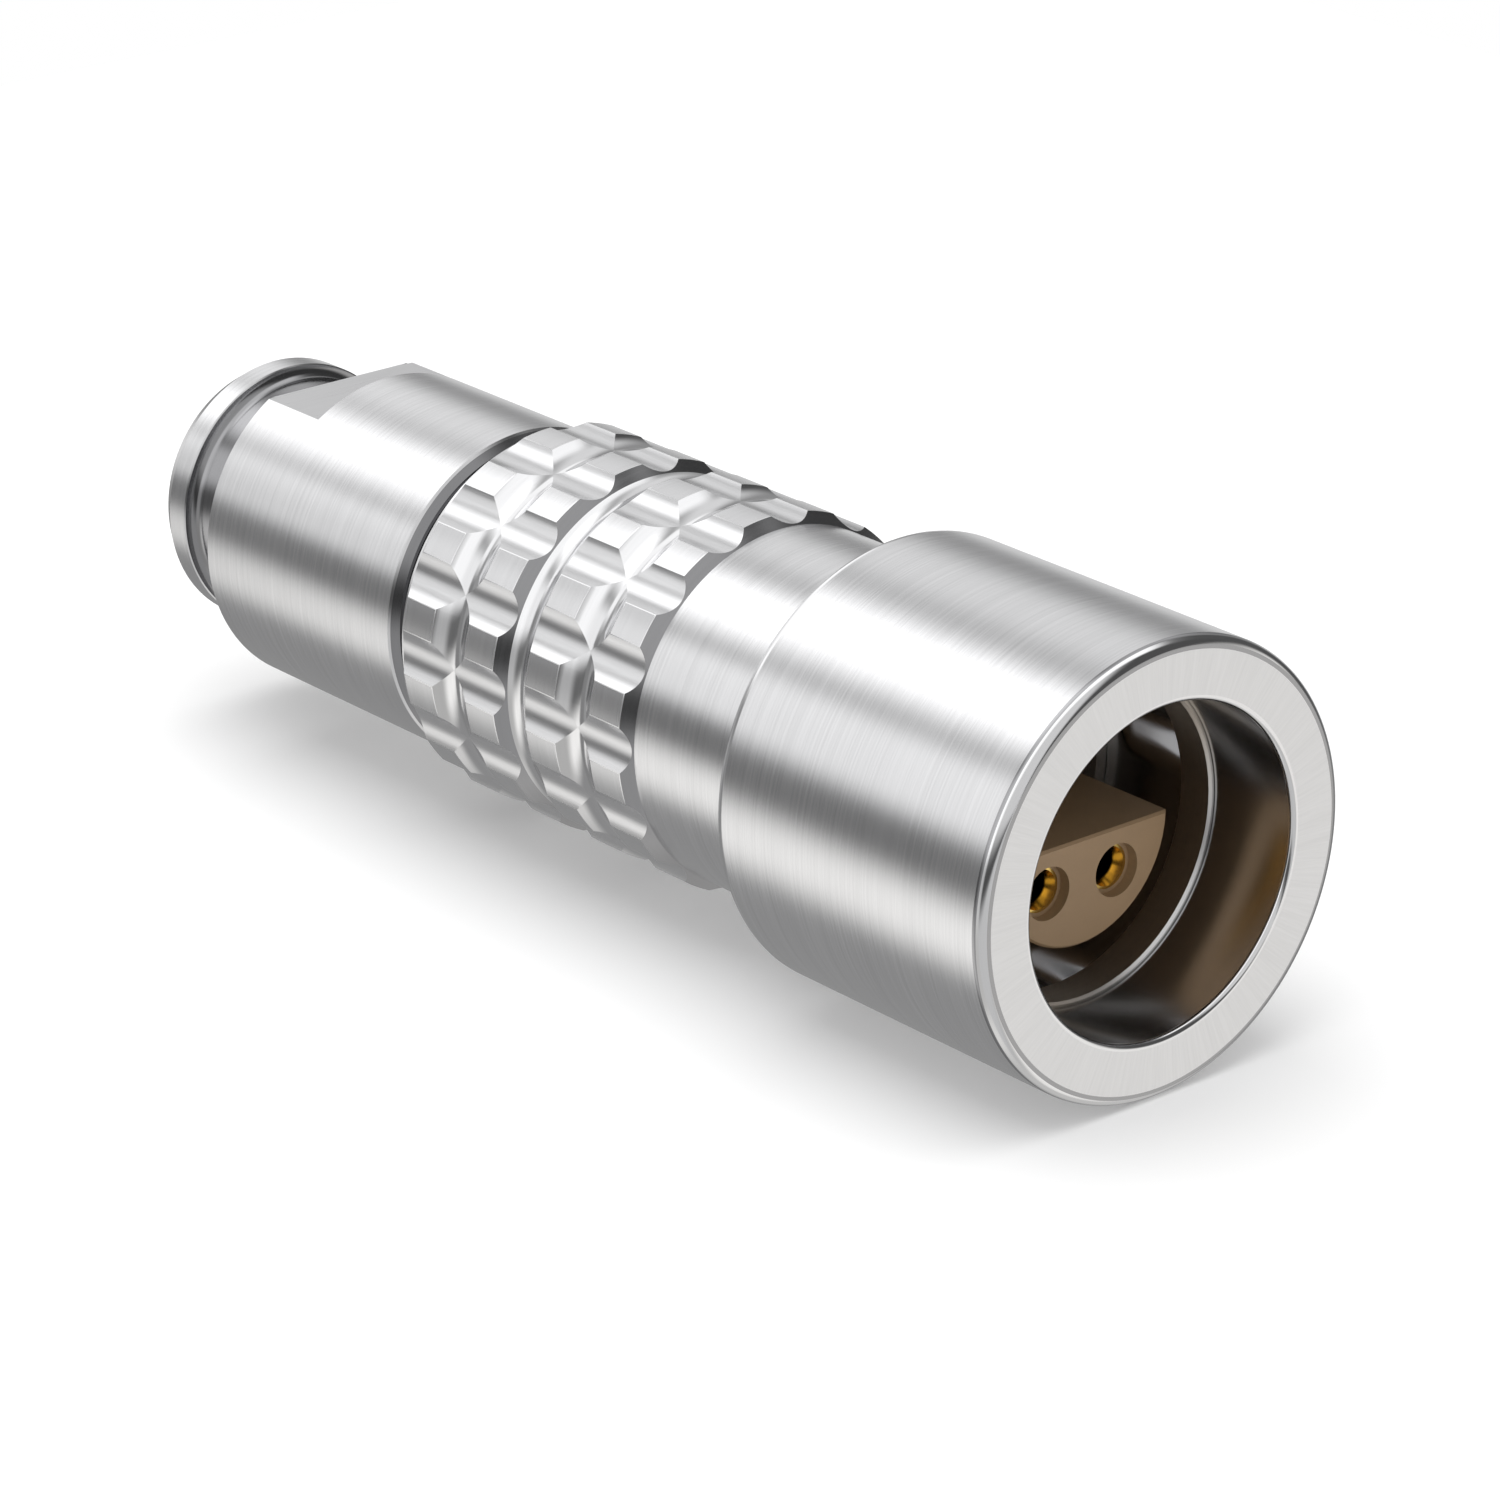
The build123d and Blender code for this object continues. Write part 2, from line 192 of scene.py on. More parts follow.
# Metals: colour, roughness, way of the tool marks, how quickly these change across and along
# themselves, strength of their relief, spread of the roughness, change of the tone, and anisotropy
STEEL = (0.80, 0.80, 0.81)
METALS = {
    "turned_steel": (STEEL, 0.22, "around", 14.0, 0.8, 0.04, 0.03, 0.065, 0.5),
    # Lighter than the steel: a painted highlight on the roundings, the mouth and the edge lines, with a
    # real polish in its low roughness
    "polished_highlight_rim": ((0.88, 0.88, 0.89), 0.12, "around", 9.0, 1.5, 0.02, 0.03, 0.02, 0),
    # Dark: painted dark reflection lines at both ends of the face's rounding
    "dark_reflection_line_steel": ((0.40, 0.40, 0.41), 0.14, "around", 9.0, 1.5, 0.02, 0.03, 0.02, 0),
    "faced_steel": (STEEL, 0.32, "outward", 60.0, 0.4, 0.05, 0.06, 0.04, 0),
    "valley_steel": (STEEL, 0.14, "around", 9.0, 1.5, 0.02, 0.03, 0.03, 0),
    # Darker than the steel: painted shade on the knurl bevels
    "shaded_bevel_steel": ((0.44, 0.44, 0.45), 0.18, "around", 9.0, 1.5, 0.03, 0.04, 0.03, 0),
    "pad_steel": (STEEL, 0.26, "around", 14.0, 0.8, 0.01, 0.02, 0.035, 0),
    "flute_steel": (STEEL, 0.25, "along", 9.0, 0.6, 0.02, 0.03, 0.04, 0),
    "groove_steel": (STEEL, 0.10, "around", 9.0, 2.0, 0.02, 0.03, 0.02, 0),
    # Lighter than the steel: a painted highlight on the broken edges of the pads
    "highlight_edge_steel": ((0.86, 0.86, 0.87), 0.28, "around", 9.0, 2.0, 0.02, 0.03, 0.02, 0),
    # Darker than the steel: painted shade inside the bores
    "shaded_bore_steel": ((0.60, 0.60, 0.61), 0.19, "around", 9.0, 0.5, 0.006, 0.02, 0.015, 0),
    "flat_steel": (STEEL, 0.28, "around", 14.0, 1.6, 0.01, 0.02, 0.03, 0),
    # Dark: painted shade on the nut's chamfer band and relief neck
    "shaded_neck_steel": ((0.36, 0.36, 0.37), 0.16, "around", 9.0, 1.5, 0.02, 0.03, 0.03, 0),
    # Near black: painted shade in the gap between the shell and the nut
    "shaded_recess_steel": ((0.10, 0.10, 0.105), 0.40, "around", 9.0, 1.5, 0.03, 0.04, 0.05, 0),
    # Darker than the steel: painted shade on the thread
    "shaded_thread_steel": ((0.42, 0.42, 0.43), 0.30, "around", 9.0, 1.5, 0.02, 0.04, 0.04, 0),
    "ring_steel": ((0.72, 0.64, 0.55), 0.36, "around", 9.0, 1.5, 0.02, 0.03, 0.03, 0),
    "nickel": ((0.72, 0.71, 0.69), 0.28, "around", 7.0, 1.5, 0.04, 0.05, 0.04, 0),
    "gold_plate": ((0.86, 0.60, 0.18), 0.18, "around", 6.0, 2.0, 0.03, 0.04, 0.04, 0),
}
# How much slower the slow lines of a metal change across and along themselves
SLOW_ACROSS = 6
SLOW_ALONG = 2
QUARTER_TURN = 0.25
FINE_LINES_SHARE = 0.8
METAL_TONE_STOPS = (0.35, 0.65)
METAL_RELIEF = 0.02

# Plastic: its marks and its mottling by how quickly they change
PLASTIC_COLOUR = (0.33, 0.216, 0.118)
PLASTIC_ROUGHNESS = 0.5
PLASTIC_SPREAD = 0.08
PLASTIC_MARKS = 12.0
PLASTIC_CLOUDS = 0.7
PLASTIC_MARKS_SHARE = 0.4
PLASTIC_TONE_STOPS = (0.3, 0.7)
PLASTIC_TONE_CHANGE = 0.06
PLASTIC_RELIEF = 0.01
PLASTIC_RELIEF_STRENGTH = 0.15

# Material of each surface, in the order of the mesh's material slots
SHELL_SLOTS = {
    "turned": "turned_steel",
    "rim": "polished_highlight_rim",
    "face": "faced_steel",
    "valley": "valley_steel",
    "mouth": "polished_highlight_rim",
    "bore": "shaded_bore_steel",
    "recess": "shaded_recess_steel",
    "rim_line": "dark_reflection_line_steel",
}
BAND_SLOTS = {
    "pad": "pad_steel",
    "groove": "groove_steel",
    "flute": "flute_steel",
    "bevel": "shaded_bevel_steel",
    "edge": "highlight_edge_steel",
}
NUT_SLOTS = {
    "turned": "turned_steel",
    "rim": "polished_highlight_rim",
    "face": "faced_steel",
    "flat": "flat_steel",
    "recess": "shaded_recess_steel",
    "bore": "shaded_bore_steel",
    "neck": "shaded_neck_steel",
    "thread": "shaded_thread_steel",
}


def in_metres(points):
    return [Vector(point) * MM for point in points]


def grid_mesh(name, columns, rows, radius_at, split_at, slots_at):
    """Closed lathe mesh. columns are angles, rows are profile points, both wrapping round.

    A quad is split by a crease where split_at says so. Edges are sharp along creased rows and
    wherever two surfaces with different slots meet.
    """
    vertices = []
    for row in rows:
        for column in columns:
            radius = radius_at(row, column)
            angle = radians(column["angle"])
            vertices.append((radius * cos(angle), radius * sin(angle), row["z"]))
    across = len(columns)
    faces, slots, creases = [], [], set()
    for i, row in enumerate(rows):
        here, there = i * across, (i + 1) % len(rows) * across
        following = rows[(i + 1) % len(rows)]
        for j, column in enumerate(columns):
            k = (j + 1) % across
            a, b, c, d = here + j, here + k, there + k, there + j
            split = split_at(row, following, column, columns[k])
            slots.extend(slots_at(row, following, column, columns[k], split))
            if split == 0:
                faces.append((a, b, c, d))
            elif split > 0:
                faces.extend(((a, b, c), (a, c, d)))
            else:
                faces.extend(((a, b, d), (b, c, d)))
            if row["crease"]:
                creases.add((min(a, b), max(a, b)))
    mesh = bpy.data.meshes.new(name)
    mesh.from_pydata(in_metres(vertices), [], faces)
    mesh.polygons.foreach_set("material_index", slots)
    mesh.shade_smooth()
    beside = {}
    for polygon in mesh.polygons:
        for key in polygon.edge_keys:
            beside.setdefault(key, set()).add(polygon.material_index)
    sharp_edges = [edge.key in creases or len(beside[edge.key]) > 1 for edge in mesh.edges]
    mesh.attributes.new("sharp_edge", "BOOLEAN", "EDGE").data.foreach_set("value", sharp_edges)
    mesh.update()
    return mesh


def place(mesh, body, replaced, surfaces):
    """An object of a mesh that rides on a body and stands for a node of the part."""
    for name in surfaces.values():
        mesh.materials.append(materials[name])
    piece = bpy.data.objects.new(mesh.name, mesh)
    bpy.context.scene.collection.objects.link(piece)
    weighted = piece.modifiers.new("normals", "WEIGHTED_NORMAL")
    weighted.keep_sharp = True
    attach(piece, body)
    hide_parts(replaced)


# Flute section: matched radii, with the angle of each on a flute
half_flute = radians(360 / FLUTE_COUNT - PAD_ANGLE) / 2
top_radius = KNURL_RADIUS - EDGE_DROP
bottom_radius = KNURL_RADIUS - KNURL_DEPTH
half_chord = top_radius * sin(half_flute)
sagitta = top_radius * cos(half_flute) - bottom_radius
flute_radius = (half_chord**2 + sagitta**2) / (2 * sagitta)
flute_reach = asin(half_chord / flute_radius)
flute_section = []
for step in range(FLUTE_STEPS + 1):
    turn = flute_reach * (1 - step / FLUTE_STEPS)
    x = bottom_radius + flute_radius * (1 - cos(turn))
    y = flute_radius * sin(turn)
    flute_section.append((hypot(x, y), degrees(atan2(y, x))))


def even_columns(count):
    return [{"angle": 360 * index / count} for index in range(count)]


def band_columns():
    """Angles round a knurled band: for each flute its section, then the pad after it."""
    columns = []
    edge = degrees(EDGE_WIDTH / KNURL_RADIUS)
    pad_half = PAD_ANGLE / 2
    for index in range(FLUTE_COUNT):
        middle = 360 * index / FLUTE_COUNT
        for step, (radius, angle) in enumerate(flute_section):
            columns.append({"angle": middle - angle, "limit": radius, "step": step})
        for step in range(FLUTE_STEPS - 1, -1, -1):
            radius, angle = flute_section[step]
            columns.append({"angle": middle + angle, "limit": radius, "step": step})
        pad_middle = middle + 180 / FLUTE_COUNT
        for step in range(PAD_STEPS + 1):
            share = 2 * step / PAD_STEPS - 1
            angle = pad_middle + share * (pad_half - edge)
            columns.append({"angle": angle, "limit": 2 * FRONT_RADIUS, "step": -1})
    return columns


def plain_row(radius, height, crease, slot):
    return {"r": radius, "z": height, "step": None, "crease": crease, "slot": slot, "knurled": False}


def knurl_row(radius, height, step, slot):
    return {"r": radius, "z": height, "step": step, "crease": False, "slot": slot, "knurled": True}


def arc_rows(middle_radius, middle_height, radius, start, end, count, slot):
    """Rows along an arc given by its centre, from one angle to another, counted from the radial way."""
    rows = []
    for step in range(count + 1):
        turn = radians(start + (end - start) * step / count)
        across, along = radius * cos(turn), radius * sin(turn)
        rows.append(plain_row(middle_radius + across, middle_height + along, False, slot))
    return rows


def band_rows(start):
    """Rows of one knurled band, from the foot of its first bevel to the foot of its second."""
    groove_sagitta = top_radius - bottom_radius
    groove_half = GROOVE_WIDTH / 2
    groove_radius = (groove_half**2 + groove_sagitta**2) / (2 * groove_sagitta)
    groove_middle = start + PAD_LENGTH + groove_half
    end = start + BAND_LENGTH
    slope = KNURL_BEVEL / (KNURL_RADIUS - NECK_RADIUS)

    def bevel(radius):
        return (KNURL_RADIUS - radius) * slope

    def groove(radius):
        return sqrt(max(groove_radius**2 - (bottom_radius + groove_radius - radius) ** 2, 0))

    steps = list(range(FLUTE_STEPS, -1, -1))
    rows = [
        plain_row(BAND_SEAT, start - KNURL_BEVEL, True, "bevel"),
        plain_row(NECK_RADIUS, start - KNURL_BEVEL, True, "bevel"),
    ]
    for step in steps:
        radius = flute_section[step][0]
        rows.append(knurl_row(radius, start - bevel(radius), step, "bevel"))
    rows.append(knurl_row(KNURL_RADIUS, start + EDGE_WIDTH, -1, "pad"))
    rows.append(knurl_row(KNURL_RADIUS, start + PAD_LENGTH - EDGE_WIDTH, -1, "pad"))
    for step in reversed(steps):
        radius = flute_section[step][0]
        rows.append(knurl_row(radius, groove_middle - groove(radius), step, "groove"))
    for step in steps[1:]:
        radius = flute_section[step][0]
        rows.append(knurl_row(radius, groove_middle + groove(radius), step, "groove"))
    rows.append(knurl_row(KNURL_RADIUS, end - PAD_LENGTH + EDGE_WIDTH, -1, "pad"))
    rows.append(knurl_row(KNURL_RADIUS, end - EDGE_WIDTH, -1, "pad"))
    for step in reversed(steps):
        radius = flute_section[step][0]
        rows.append(knurl_row(radius, end + bevel(radius), step, "bevel"))
    rows.append(plain_row(NECK_RADIUS, end + KNURL_BEVEL, True, "bevel"))
    rows.append(plain_row(BAND_SEAT, end + KNURL_BEVEL, True, "bevel"))
    return rows


def shell_rows():
    """Profile of the shell, from the mouth over the outside to the tail and back through the bore.

    Under each knurled band the outside steps in to that band's seat.
    """
    valley_start = FIRST_BAND + BAND_LENGTH + KNURL_BEVEL
    valley_end = SECOND_BAND - KNURL_BEVEL
    tail_start = SECOND_BAND + BAND_LENGTH + KNURL_BEVEL
    end = tail_start + SHELL_TAIL

    def face_arc(start, end, count, slot):
        middle = FRONT_RADIUS - FACE_ROUNDING
        return arc_rows(middle, FACE_ROUNDING, FACE_ROUNDING, start, end, count, slot)

    rows = arc_rows(BORE_RADIUS + BORE_ROUNDING, BORE_ROUNDING, BORE_ROUNDING, 180, 270, ROUNDING_STEPS,
                    "mouth")
    rows[-1]["slot"] = "face"
    rows.append(plain_row(FRONT_RADIUS - FACE_ROUNDING - GUARD, 0, False, "face"))
    # The face's rounding: painted dark reflection lines at both ends and a painted highlight between them
    rows += face_arc(-90, RIM_LINE_ANGLE - 90, RIM_LINE_STEPS[0], "rim_line")[:-1]
    rows += face_arc(RIM_LINE_ANGLE - 90, -RIM_LINE_ANGLE, ROUNDING_STEPS, "rim")
    rows[-1]["slot"] = "rim_line"
    rows += face_arc(-RIM_LINE_ANGLE, 0, RIM_LINE_STEPS[1], "rim_line")[1:]
    rows[-1]["slot"] = "turned"
    rows += [
        plain_row(FRONT_RADIUS, FACE_ROUNDING + GUARD, False, "turned"),
        plain_row(FRONT_RADIUS, FRONT_LENGTH - SHOULDER_ROUNDING - EDGE_WIDTH, True, "rim"),
    ]
    rows += arc_rows(FRONT_RADIUS - SHOULDER_ROUNDING, FRONT_LENGTH - SHOULDER_ROUNDING, SHOULDER_ROUNDING,
                     SHOULDER_START_ANGLE, 90, ROUNDING_STEPS, "rim")
    rows[-1]["crease"] = True
    rows += [
        plain_row(NECK_RADIUS, FRONT_LENGTH, True, "turned"),
        plain_row(NECK_RADIUS, FRONT_LENGTH + NECK_LENGTH / 2, False, "turned"),
        plain_row(NECK_RADIUS, FIRST_BAND - KNURL_BEVEL, True, "turned"),
        plain_row(BAND_SEAT, FIRST_BAND - KNURL_BEVEL, True, "turned"),
        plain_row(BAND_SEAT, valley_start, True, "turned"),
        plain_row(NECK_RADIUS, valley_start, True, "valley"),
    ]
    valley_half = (valley_end - valley_start) / 2
    valley_radius = (valley_half**2 + VALLEY_SAG**2) / (2 * VALLEY_SAG)
    valley_reach = degrees(asin(valley_half / valley_radius))
    rows += arc_rows(NECK_RADIUS - VALLEY_SAG + valley_radius, valley_start + valley_half, valley_radius,
                     180 + valley_reach, 180 - valley_reach, ROUNDING_STEPS, "valley")[1:-1]
    rows += [
        plain_row(NECK_RADIUS, valley_end, True, "turned"),
        plain_row(BAND_SEAT, valley_end, True, "turned"),
        plain_row(BAND_SEAT, tail_start, True, "turned"),
        plain_row(NECK_RADIUS, tail_start, True, "turned"),
        # The tail's end face and edge break: near-black painted shade in the gap before the nut
        plain_row(NECK_RADIUS, end, True, "recess"),
        plain_row(REAR_BORE_RADIUS + SHELL_EDGE_BREAK, end, True, "recess"),
        plain_row(REAR_BORE_RADIUS, end - SHELL_EDGE_BREAK, True, "bore"),
        plain_row(REAR_BORE_RADIUS, RETAINER_SEAT_SPAN[1], True, "bore"),
        plain_row(RETAINER_SEAT_RADIUS, RETAINER_SEAT_SPAN[1], True, "bore"),
        plain_row(RETAINER_SEAT_RADIUS, RETAINER_SEAT_SPAN[0], True, "bore"),
        plain_row(BORE_RADIUS, RETAINER_SEAT_SPAN[0], True, "bore"),
        plain_row(BORE_RADIUS, RING_SEAT_SPAN[1], True, "bore"),
        plain_row(RING_SEAT_RADIUS, RING_SEAT_SPAN[1], True, "bore"),
        plain_row(RING_SEAT_RADIUS, RING_SEAT_SPAN[0], True, "bore"),
        plain_row(BORE_RADIUS, RING_SEAT_SPAN[0], True, "bore"),
    ]
    return rows


def knurl_radius_at(row, column):
    return min(row["r"], column["limit"]) if row["knurled"] else row["r"]


def knurl_split(row, following, column, beside):
    """1 or -1 where a crease runs across the quad, by its diagonal, and 0 where none does."""
    if not (row["knurled"] and following["knurled"]):
        return 0
    rows = (row["step"], following["step"])
    sides = (column["step"], beside["step"])
    if min(rows + sides) < 0 or rows[0] == rows[1] or sorted(rows) != sorted(sides):
        return 0
    return 1 if rows == sides else -1


def slot_number(slots, name):
    return list(slots).index(name)


def shell_slots(row, following, column, beside, split):
    return (slot_number(SHELL_SLOTS, row["slot"]),)


def band_surface(row, following, column, beside):
    """The surface that a whole quad of a knurled band belongs to."""
    rows = (row["step"], following["step"])
    sides = (column["step"], beside["step"])
    if min(sides) >= 0:
        in_flute = min(rows) < 0 or sum(rows) < sum(sides)
        return "flute" if in_flute else row["slot"]
    if min(rows) >= 0:
        return row["slot"]
    return "pad" if max(rows + sides) < 0 else "edge"


def band_slots(row, following, column, beside, split):
    """Slots of a quad's one face, or of its two faces where a crease splits it."""
    if not (row["knurled"] and following["knurled"]):
        names = ("bevel",)
    elif split == 0:
        names = (band_surface(row, following, column, beside),)
    else:
        near, far = (beside, column) if split > 0 else (column, beside)
        off_crease = ((row, near), (following, far))
        names = [row["slot"] if line["step"] > side["step"] else "flute" for line, side in off_crease]
    return tuple(slot_number(BAND_SLOTS, name) for name in names)


def nut_rows():
    """Profile of the nut, from the spigot over the outside to the rear lip and back inside."""
    end = NUT_START + NUT_LENGTH
    ring_end = RELIEF_RING_START + RELIEF_RING_LENGTH
    rows = [plain_row(SPIGOT_RADIUS - THREAD_DEPTH, SPIGOT_START, True, "thread")]
    rows_of_thread = round((NUT_START - SPIGOT_START) / THREAD_PITCH * THREAD_ROWS)
    for step in range(1, rows_of_thread):
        height = SPIGOT_START + (NUT_START - SPIGOT_START) * step / rows_of_thread
        # Thread rows in the gap before the nut take the near-black recess steel and the rest the darker
        # thread steel, both as painted shade
        row = plain_row(SPIGOT_RADIUS, height, False, "recess" if height > SHELL_LENGTH else "thread")
        row["thread"] = True
        rows.append(row)
    rows += [
        # The nut's face and chamfer: near-black painted shade on the inner face, painted highlight lines at
        # the chamfer's edges, and painted shade on the chamfer between
        plain_row(SPIGOT_RADIUS - THREAD_DEPTH, NUT_START, True, "recess"),
        plain_row(NUT_RADIUS - NUT_CHAMFER - NUT_FACE_RIM, NUT_START, False, "rim"),
        plain_row(NUT_RADIUS - NUT_CHAMFER, NUT_START, False, "neck"),
        plain_row(NUT_RADIUS - NUT_EDGE, NUT_START + NUT_CHAMFER - NUT_EDGE, False, "rim"),
        plain_row(NUT_RADIUS, NUT_START + NUT_CHAMFER, False, "turned"),
        plain_row(NUT_RADIUS, NUT_START + NUT_CHAMFER + GUARD, False, "turned"),
        plain_row(NUT_RADIUS, (NUT_START + end) / 2, False, "turned"),
    ]
    flat_start = plain_row(NUT_RADIUS, end - FLAT_LENGTH, True, "flat")
    flat_foot = plain_row(NUT_RADIUS, end - FLAT_LENGTH + FLAT_FOOT, True, "flat")
    flat_end = plain_row(NUT_RADIUS, end - NUT_REAR_CHAMFER, True, "flat")
    flat_rim = plain_row(NUT_RADIUS - NUT_REAR_CHAMFER, end, True, "turned")
    for row in (flat_foot, flat_end, flat_rim):
        row["flat"] = True
    rows += [
        flat_start,
        flat_foot,
        flat_end,
        flat_rim,
        # The relief neck and its fillet: painted shade
        plain_row(RELIEF_NECK_RADIUS, end, True, "neck"),
        plain_row(RELIEF_NECK_RADIUS, RELIEF_RING_START - RELIEF_NECK_FILLET, False, "neck"),
    ]
    rows += arc_rows(RELIEF_NECK_RADIUS + RELIEF_NECK_FILLET, RELIEF_RING_START - RELIEF_NECK_FILLET,
                     RELIEF_NECK_FILLET, 180, 90, FILLET_STEPS, "neck")[1:]
    rows += [
        plain_row(RELIEF_RING_RADIUS - RELIEF_RING_EDGE, RELIEF_RING_START, False, "rim"),
        plain_row(RELIEF_RING_RADIUS, RELIEF_RING_START + RELIEF_RING_EDGE, False, "turned"),
        plain_row(RELIEF_RING_RADIUS, ring_end - RELIEF_RING_TAPER_LENGTH, True, "rim"),
        plain_row(RELIEF_RING_RADIUS - RELIEF_RING_TAPER, ring_end, True, "face"),
        plain_row(CABLE_HOLE_RADIUS + CABLE_HOLE_CHAMFER, ring_end, True, "rim"),
        plain_row(CABLE_HOLE_RADIUS, ring_end - CABLE_HOLE_CHAMFER, True, "bore"),
        plain_row(CABLE_HOLE_RADIUS, CONE_END, True, "bore"),
        plain_row(CONE_END_RADIUS, CONE_END, True, "bore"),
        plain_row(CONE_START_RADIUS, CONE_START, True, "bore"),
        plain_row(SPIGOT_BORE, CONE_START, True, "bore"),
        plain_row(SPIGOT_BORE, SPIGOT_START, True, "bore"),
    ]
    return rows


def nut_columns():
    """Even angles round the nut, with the ends of both flats among them."""
    flat_reach = degrees(asin(SPANNER_SIZE / 2 / NUT_RADIUS))
    ends = (flat_reach, 180 - flat_reach, 180 + flat_reach, 360 - flat_reach)
    columns = []
    for index in range(NUT_COLUMNS):
        angle = 360 * index / NUT_COLUMNS
        nearest = min(ends, key=lambda end: abs(end - angle))
        if abs(nearest - angle) <= 180 / NUT_COLUMNS:
            angle = nearest
        columns.append({"angle": angle})
    return columns


def nut_radius_at(row, column):
    if row.get("flat"):
        rise = abs(sin(radians(column["angle"])))
        return min(row["r"], SPANNER_SIZE / 2 / max(rise, LEAST_RISE))
    if row.get("thread"):
        turn = (row["z"] / THREAD_PITCH - column["angle"] / 360) % 1
        return row["r"] - THREAD_DEPTH * abs(2 * turn - 1)
    return row["r"]


def nut_slots(row, following, column, beside, split):
    if row["slot"] == "flat":
        middle = radians((column["angle"] + beside["angle"]) / 2)
        on_flat = abs(sin(middle)) * NUT_RADIUS > SPANNER_SIZE / 2
        return (slot_number(NUT_SLOTS, "flat" if on_flat and row.get("flat") else "turned"),)
    return (slot_number(NUT_SLOTS, row["slot"]),)


def lathe_radius_at(row, column):
    return row["r"]


def no_split(row, following, column, beside):
    return 0


def link(tree, output, target):
    tree.links.new(output, target)


def math_node(tree, operation, *values):
    node = tree.nodes.new("ShaderNodeMath")
    node.operation = operation
    for socket, value in zip(node.inputs, values):
        if isinstance(value, (int, float)):
            socket.default_value = value
        else:
            link(tree, value, socket)
    return node.outputs[0]


def vector_node(tree, operation, first, second=None, scale=None):
    node = tree.nodes.new("ShaderNodeVectorMath")
    node.operation = operation
    for socket, value in zip(node.inputs, (first, second)):
        if value is None:
            continue
        if isinstance(value, tuple):
            socket.default_value = value
        else:
            link(tree, value, socket)
    if isinstance(scale, (int, float)):
        node.inputs["Scale"].default_value = scale
    elif scale is not None:
        link(tree, scale, node.inputs["Scale"])
    return node.outputs[0]


def line_coordinates(tree, direction, fine, coarse):
    """Coordinates stretched along the marks of a tool: round the axis, away from it, or along it."""
    place_node = tree.nodes.new("ShaderNodeTexCoord")
    millimetres = vector_node(tree, "SCALE", place_node.outputs["Object"], scale=1 / MM)
    flat = vector_node(tree, "MULTIPLY", millimetres, (1, 1, 0))
    around = vector_node(tree, "NORMALIZE", flat)
    parts = tree.nodes.new("ShaderNodeSeparateXYZ")
    link(tree, millimetres, parts.inputs[0])
    join = tree.nodes.new("ShaderNodeCombineXYZ")
    if direction == "around":
        stretched = vector_node(tree, "SCALE", around, scale=coarse)
        link(tree, math_node(tree, "MULTIPLY", parts.outputs["Z"], fine), join.inputs["Z"])
    elif direction == "outward":
        stretched = vector_node(tree, "SCALE", around, scale=fine)
        length = tree.nodes.new("ShaderNodeVectorMath")
        length.operation = "LENGTH"
        link(tree, flat, length.inputs[0])
        link(tree, math_node(tree, "MULTIPLY", length.outputs["Value"], coarse), join.inputs["Z"])
    else:
        stretched = vector_node(tree, "MULTIPLY", millimetres, (fine, fine, 0))
        link(tree, math_node(tree, "MULTIPLY", parts.outputs["Z"], coarse), join.inputs["Z"])
    return vector_node(tree, "ADD", stretched, join.outputs[0])


def noise(tree, vector, detail, roughness):
    node = tree.nodes.new("ShaderNodeTexNoise")
    node.inputs["Scale"].default_value = 1.0
    node.inputs["Detail"].default_value = detail
    node.inputs["Roughness"].default_value = roughness
    link(tree, vector, node.inputs["Vector"])
    return node.outputs["Fac"]


def blend(tree, first, second, share):
    """The sum of two values, the first by its share and the second by the rest."""
    return math_node(tree, "ADD", math_node(tree, "MULTIPLY", first, share),
                     math_node(tree, "MULTIPLY", second, 1 - share))


def add_tone(tree, shader, value, stops, colour, change):
    """Darker than the colour up to the first stop of a value, and lighter from the second one on."""
    node = tree.nodes.new("ShaderNodeValToRGB")
    for element, stop, factor in zip(node.color_ramp.elements, stops, (1 - change, 1 + change)):
        element.position = stop
        element.color = (*(min(channel * factor, 1) for channel in colour), 1)
    link(tree, value, node.inputs["Fac"])
    link(tree, node.outputs["Color"], shader.inputs["Base Color"])


def add_roughness(tree, shader, value, roughness, spread):
    """Roughness about a middle, by a value from 0 to 1."""
    node = tree.nodes.new("ShaderNodeMapRange")
    node.inputs["To Min"].default_value = roughness - spread
    node.inputs["To Max"].default_value = roughness + spread
    link(tree, value, node.inputs["Value"])
    link(tree, node.outputs["Result"], shader.inputs["Roughness"])


def add_relief(tree, shader, height, strength, depth):
    """Relief of a depth in millimetres."""
    bump = tree.nodes.new("ShaderNodeBump")
    bump.inputs["Strength"].default_value = strength
    bump.inputs["Distance"].default_value = depth * MM
    link(tree, height, bump.inputs["Height"])
    link(tree, bump.outputs[0], shader.inputs["Normal"])


def new_material(name):
    material = bpy.data.materials.new(name)
    material.use_nodes = True
    tree = material.node_tree
    return material, tree, tree.nodes["Principled BSDF"]


